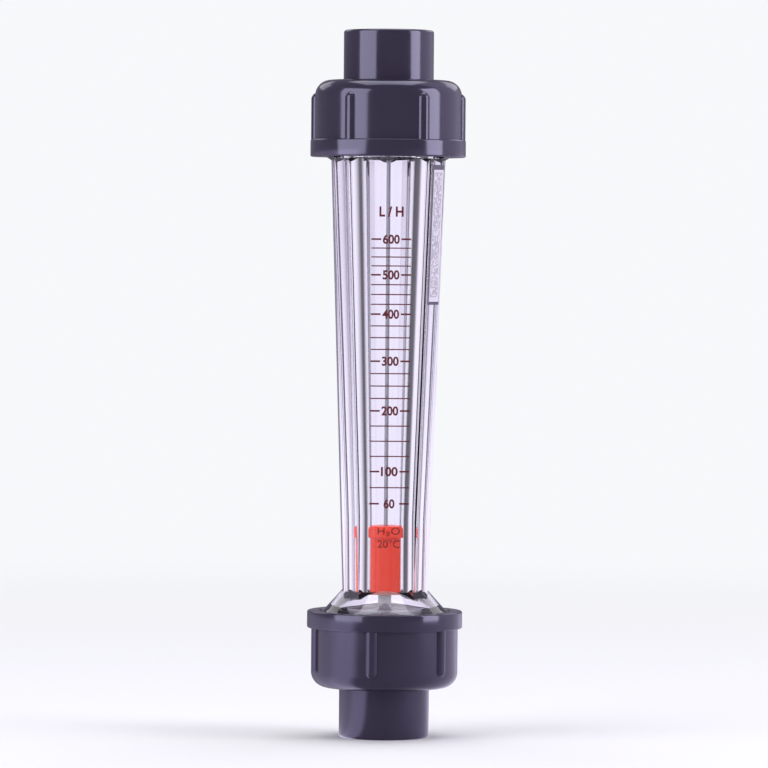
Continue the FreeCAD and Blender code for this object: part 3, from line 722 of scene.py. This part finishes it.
lower_stop_box, upper_stop_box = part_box("lower_stop"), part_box("upper_stop")
LOWER_SPOKES = lower_stop_box[1][2] - 4.5 * MM - SPOKE_HEIGHT
UPPER_SPOKES = upper_stop_box[0][2] + 1.1 * MM
stop("lower_stop", "lower_rod_stop", LOWER_SPOKES, lower_stop_box[1][2], LOWER_SPOKES)
stop("upper_stop", "upper_rod_stop", upper_stop_box[0][2], UPPER_SPOKES + SPOKE_HEIGHT + HUB_RISE,
     UPPER_SPOKES)


# ------------------------------------------------------------------ float
# A red moulded shell with a wider metering head over a steel ballast ring, closed by a plug with a conical
# nose. The sleeve down its middle slides on the guide rod.

float_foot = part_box("float_nose")[0][2]
shell_foot, float_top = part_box("float_shell")[0][2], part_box("float_shell")[1][2]
head_radius, plug_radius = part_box("float_shell")[1][0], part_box("float_nose")[1][0]
ballast_low, ballast_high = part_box("float_core")
SLEEVE_BORE, SLEEVE_OUTER = 1.1 * MM, 1.9 * MM
CAVITY = ballast_high[0] + 0.05 * MM
CAVITY_TOP = ballast_high[2] + 0.05 * MM
HEAD_HEIGHT, HEAD_BEVEL = 3.4 * MM, 0.8 * MM

red_plastic = moulded_plastic("red_plastic", (1.0, 0.046, 0.002), 0.2, 0.3, 0.006 * MM)

float_shell = turned("float_body", [
    (SLEEVE_BORE, shell_foot), (SLEEVE_OUTER, shell_foot), (SLEEVE_OUTER, CAVITY_TOP),
    (CAVITY, CAVITY_TOP), (CAVITY, shell_foot), (plug_radius, shell_foot),
    (plug_radius, float_top - HEAD_HEIGHT - 0.25 * MM),
    (plug_radius + 0.07 * MM, float_top - HEAD_HEIGHT - 0.07 * MM),
    (plug_radius + 0.25 * MM, float_top - HEAD_HEIGHT),
    (head_radius - 0.1 * MM, float_top - HEAD_HEIGHT), (head_radius, float_top - HEAD_HEIGHT + 0.1 * MM),
    (head_radius, float_top - HEAD_BEVEL), (head_radius - HEAD_BEVEL, float_top),
    (SLEEVE_BORE + 0.2 * MM, float_top), (SLEEVE_BORE, float_top - 0.2 * MM)], steps=128, hollow=True)
float_plug = turned("float_plug", [
    (SLEEVE_BORE + 0.2 * MM, float_foot), (4.6 * MM, float_foot), (plug_radius, shell_foot - 0.05 * MM),
    (CAVITY - 0.05 * MM, shell_foot - 0.05 * MM), (CAVITY - 0.05 * MM, shell_foot + 1.5 * MM),
    (SLEEVE_OUTER + 0.05 * MM, shell_foot + 1.5 * MM), (SLEEVE_OUTER + 0.05 * MM, shell_foot - 0.05 * MM),
    (SLEEVE_BORE, shell_foot - 0.05 * MM), (SLEEVE_BORE, float_foot + 0.2 * MM)], steps=128, hollow=True)
ballast = turned("ballast_ring", [
    (SLEEVE_OUTER + 0.05 * MM, ballast_low[2]), (ballast_high[0] - 0.3 * MM, ballast_low[2]),
    (ballast_high[0], ballast_low[2] + 0.3 * MM), (ballast_high[0], ballast_high[2] - 0.3 * MM),
    (ballast_high[0] - 0.3 * MM, ballast_high[2]), (SLEEVE_OUTER + 0.05 * MM, ballast_high[2])],
    steps=64, hollow=True)
for piece, node, finish, slot_name in (
        (float_shell, "float_shell", red_plastic, "float_plastic"),
        (float_plug, "float_nose", red_plastic, "float_plastic"),
        (ballast, "float_core", drawn_steel, "steel")):
    piece.data.materials.append(finish)
    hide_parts(node)
    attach(piece, "float")


# ------------------------------------------------------------------ specification label
# A narrow film stuck to the right front chamfer. Its header, footer and rows are plain bars with no
# lettering.

LABEL_WIDTH, LABEL_FILM = 4.8 * MM, 0.12 * MM
label_low, label_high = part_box("spec_label")[0][2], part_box("spec_label")[1][2]
FILM_TILT = math.atan(math.sqrt(2) * math.tan(TILT))

clear_selection()
bpy.ops.mesh.primitive_plane_add(size=1)
label = bpy.context.object
label.scale = (LABEL_WIDTH, (label_high - label_low) / math.cos(FILM_TILT), 1)
bpy.ops.object.transform_apply(scale=True)
bpy.ops.object.mode_set(mode="EDIT")
bpy.ops.mesh.select_all(action="SELECT")
bpy.ops.mesh.extrude_region_move(TRANSFORM_OT_translate={"value": (0, 0, LABEL_FILM)})
bpy.ops.mesh.select_all(action="SELECT")
bpy.ops.mesh.normals_make_consistent(inside=False)
bpy.ops.object.mode_set(mode="OBJECT")
label_level = (label_low + label_high) / 2
half_flats = FLATS_LOW / 2 + math.tan(TILT) * (label_level - BODY_LOW)
chamfer = (2 * half_flats - CORNER_LEG) / math.sqrt(2) + 0.02 * MM
label.rotation_euler = (math.radians(90) + FILM_TILT, 0, math.radians(45))
label.location = (chamfer / math.sqrt(2), -chamfer / math.sqrt(2), label_level)
finish_piece(label, "label")

label_film = new_material("label_film")
tree = label_film.node_tree
place = add_node(tree, "ShaderNodeUVMap")
split = add_node(tree, "ShaderNodeSeparateXYZ")
wire(tree, place, "UV", split, 0)
across, along = split.outputs["X"], split.outputs["Y"]
# Rows of grey dashes of uneven length run the length of the film, like print too fine to read.
row = formula("MULTIPLY", across, 11.0)
in_row = formula("LESS_THAN", formula("ABSOLUTE", formula("SUBTRACT", formula("FRACT", row), 0.5)), 0.27)
dash_seat = add_node(tree, "ShaderNodeCombineXYZ")
tree.links.new(formula("FLOOR", row), dash_seat.inputs["X"])
tree.links.new(formula("FLOOR", formula("MULTIPLY", along, 110.0)), dash_seat.inputs["Y"])
chance = add_node(tree, "ShaderNodeTexWhiteNoise", noise_dimensions="2D")
wire(tree, dash_seat, 0, chance, "Vector")
dash = formula("MULTIPLY", in_row, formula("GREATER_THAN", chance.outputs["Value"], 0.34))
from_side = formula("ABSOLUTE", formula("SUBTRACT", across, 0.5))
dash = formula("MULTIPLY", dash, formula("LESS_THAN", from_side, 0.36))
from_middle = formula("ABSOLUTE", formula("SUBTRACT", along, 0.5))
dash = formula("MULTIPLY", dash, formula("LESS_THAN", from_middle, 0.445))
header = formula("GREATER_THAN", along, 0.965)
footer = formula("LESS_THAN", along, 0.022)
border = formula("MAXIMUM", formula("GREATER_THAN", from_side, 0.475), formula("LESS_THAN", across, 0.11))
bars = formula("MAXIMUM", formula("MAXIMUM", header, footer), border)

film = add_node(tree, "ShaderNodeBsdfPrincipled")
film.inputs["Roughness"].default_value = 0.32
printed = add_node(tree, "ShaderNodeMix", data_type="RGBA")
printed.inputs["A"].default_value = (0.60, 0.57, 0.65, 1)
printed.inputs["B"].default_value = (0.20, 0.18, 0.22, 1)
tree.links.new(dash, printed.inputs["Factor"])
barred = add_node(tree, "ShaderNodeMix", data_type="RGBA")
barred.inputs["B"].default_value = (0.07, 0.06, 0.09, 1)
tree.links.new(bars, barred.inputs["Factor"])
tree.links.new(printed.outputs["Result"], barred.inputs["A"])
tree.links.new(barred.outputs["Result"], film.inputs["Base Color"])
output = add_node(tree, "ShaderNodeOutputMaterial")
wire(tree, film, 0, output, "Surface")
label.data.materials.append(label_film)
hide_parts("spec_label")
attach(label, "meter_body")


# ------------------------------------------------------------------ pipe connectors and seal rings
# Dark grey moulded ends: a plain solvent socket outside the union, and inside it a collar with a rubber ring
# in its face, which the nut pulls up against the tube.

grey_plastic = moulded_plastic("dark_grey_plastic", (0.026, 0.021, 0.036), 0.10, 0.18, 0.012 * MM,
                               sheen=0.72, sheen_tint=(0.76, 0.75, 1.0))
black_rubber = moulded_plastic("black_rubber", (0.02, 0.02, 0.021), 0.5, 0.65, 0.01 * MM)

PIPE_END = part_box("lower_connector")[0][2]
COLLAR_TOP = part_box("lower_connector")[1][2]
COLLAR_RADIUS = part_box("lower_connector")[1][0]
COLLAR_BASE = COLLAR_TOP - 5.1 * MM
BARREL_RADIUS, SOCKET_RADIUS, PORT_RADIUS = 13.5 * MM, 10.1 * MM, 7.5 * MM
SOCKET_DEPTH = 16 * MM
SEAL_RADIUS, SEAL_SECTION = 16.3 * MM, 1.9 * MM
METER_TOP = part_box("upper_connector")[1][2]


def arc(across, up, radius, start, end, steps):
    """Rings along a rounded edge: a centre in section, and degrees from straight out."""
    rings = []
    for step in range(steps + 1):
        angle = math.radians(start + (end - start) * step / steps)
        rings.append((across + radius * math.cos(angle), up + radius * math.sin(angle)))
    return rings


def turn_over(piece, spin=0.0):
    """Stand a piece made for the inlet on its head at the outlet."""
    clear_selection()
    piece.select_set(True)
    bpy.context.view_layer.objects.active = piece
    piece.rotation_euler = (math.pi, 0, math.radians(spin))
    piece.location = (0, 0, METER_TOP)
    bpy.ops.object.transform_apply(location=True, rotation=True, scale=True)


for end in ("lower", "upper"):
    groove = SEAL_SECTION / 2 + 0.05 * MM
    connector = turned(end + "_pipe_end", [
        (SOCKET_RADIUS + 0.6 * MM, PIPE_END)]
        + arc(BARREL_RADIUS - 0.8 * MM, PIPE_END + 0.8 * MM, 0.8 * MM, -90, 0, 6)
        + [(BARREL_RADIUS, COLLAR_BASE), (COLLAR_RADIUS - 0.3 * MM, COLLAR_BASE),
           (COLLAR_RADIUS, COLLAR_BASE + 0.3 * MM), (COLLAR_RADIUS, COLLAR_TOP - 0.3 * MM),
           (COLLAR_RADIUS - 0.3 * MM, COLLAR_TOP),
           (SEAL_RADIUS + groove, COLLAR_TOP), (SEAL_RADIUS + groove, COLLAR_TOP - SEAL_SECTION),
           (SEAL_RADIUS - groove, COLLAR_TOP - SEAL_SECTION), (SEAL_RADIUS - groove, COLLAR_TOP),
           (PORT_RADIUS + 0.4 * MM, COLLAR_TOP), (PORT_RADIUS, COLLAR_TOP - 0.4 * MM),
           (PORT_RADIUS, PIPE_END + SOCKET_DEPTH), (SOCKET_RADIUS, PIPE_END + SOCKET_DEPTH),
           (SOCKET_RADIUS, PIPE_END + 0.6 * MM)], hollow=True)
    seal = turned(end + "_seal", arc(SEAL_RADIUS, COLLAR_TOP - SEAL_SECTION / 2 + 0.05 * MM,
                                     SEAL_SECTION / 2, 0, 330, 11), steps=96, hollow=True)
    if end == "upper":
        turn_over(connector)
        turn_over(seal)
    for piece, node, finish, slot_name in (
            (connector, end + "_connector", grey_plastic, "grey_plastic"),
            (seal, end + "_seal_ring", black_rubber, "seal_rubber")):
        piece.data.materials.append(finish)
        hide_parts(node)
        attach(piece, end + "_pipe_end")


# ------------------------------------------------------------------ union nuts
# Dark grey mouldings with a rounded shoulder, a rim at the mouth and six half-round ribs to grip. Each nut
# turns on the tube's thread and pulls the collar inside it up to the tube's face.

NUT_FOOT, NUT_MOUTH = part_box("lower_union_nut")[0][2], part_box("lower_union_nut")[1][2]
RIM_RADIUS, NUT_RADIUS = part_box("lower_union_nut")[1][0], 22.0 * MM
RIM_BASE = NUT_MOUTH - 5.2 * MM
NUT_SHOULDER, NUT_ROUND, RIM_ROUND = 3.5 * MM, 4.6 * MM, 0.5 * MM
NUT_HOLE, NUT_BORE = BARREL_RADIUS + SLIP, NECK_RADIUS + SLIP
NUT_CREST, NUT_MOUTH_BORE = THREAD_ROOT + SLIP, NUT_BORE + 0.15 * MM
CREST_END = NECK_TOP - NECK_LAND - SLIP
RIB_RADIUS = 1.95 * MM
RIB_CENTRE = RIM_RADIUS - 0.15 * MM - RIB_RADIUS
RIB_FOOT = NUT_FOOT + 3.8 * MM + RIB_RADIUS
RIB_ANGLES = {"lower": 18.0, "upper": -3.0}

for end in ("lower", "upper"):
    nut = turned(end + "_nut", [(NUT_HOLE + 0.4 * MM, NUT_FOOT)]
                 + arc(NUT_RADIUS - NUT_ROUND, NUT_FOOT + NUT_ROUND, NUT_ROUND, -90, 0, 16)
                 + [(NUT_RADIUS, RIM_BASE)]
                 + arc(RIM_RADIUS - RIM_ROUND, RIM_BASE + RIM_ROUND, RIM_ROUND, -90, 0, 5)
                 + arc(RIM_RADIUS - RIM_ROUND, NUT_MOUTH - RIM_ROUND, RIM_ROUND, 0, 90, 5)
                 + [(NUT_MOUTH_BORE + 0.6 * MM, NUT_MOUTH), (NUT_MOUTH_BORE, NUT_MOUTH - 0.6 * MM),
                    (NUT_MOUTH_BORE, CREST_END), (NUT_CREST, CREST_END),
                    (NUT_CREST, NUT_FOOT + NUT_SHOULDER), (NUT_HOLE, NUT_FOOT + NUT_SHOULDER),
                    (NUT_HOLE, NUT_FOOT + 0.4 * MM)], hollow=True)
    for number in range(6):
        rib = turned("rib", arc(0, RIB_FOOT, RIB_RADIUS, -85, 0, 12)
                     + [(RIB_RADIUS, RIM_BASE + RIM_ROUND + 0.15 * MM)], steps=48)
        rib.location.x = RIB_CENTRE
        bpy.ops.object.transform_apply(location=True)
        rib.rotation_euler = (0, 0, math.radians(60 * number))
        bpy.ops.object.transform_apply(rotation=True)
        combine(nut, rib, "UNION")
    # The groove starts a turn early, where it meets the tube's thread once the nut stands at its angle.
    turned_by = RIB_ANGLES[end] if end == "lower" else -RIB_ANGLES[end]
    groove_low = THREAD_LOW + THREAD_PITCH * (turned_by / 360 - 1)
    combine(nut, thread("groove", NUT_CREST - SLIP, NUT_BORE, groove_low, THREAD_TURNS + 2, 0.15 * MM),
            "DIFFERENCE")
    if end == "upper":
        turn_over(nut, RIB_ANGLES[end])
    else:
        nut.rotation_euler = (0, 0, math.radians(RIB_ANGLES[end]))
    finish_piece(nut, end + "_nut", smooth=25)
    nut.data.materials.append(grey_plastic)
    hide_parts(end + "_union_nut")
    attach(nut, end + "_nut")
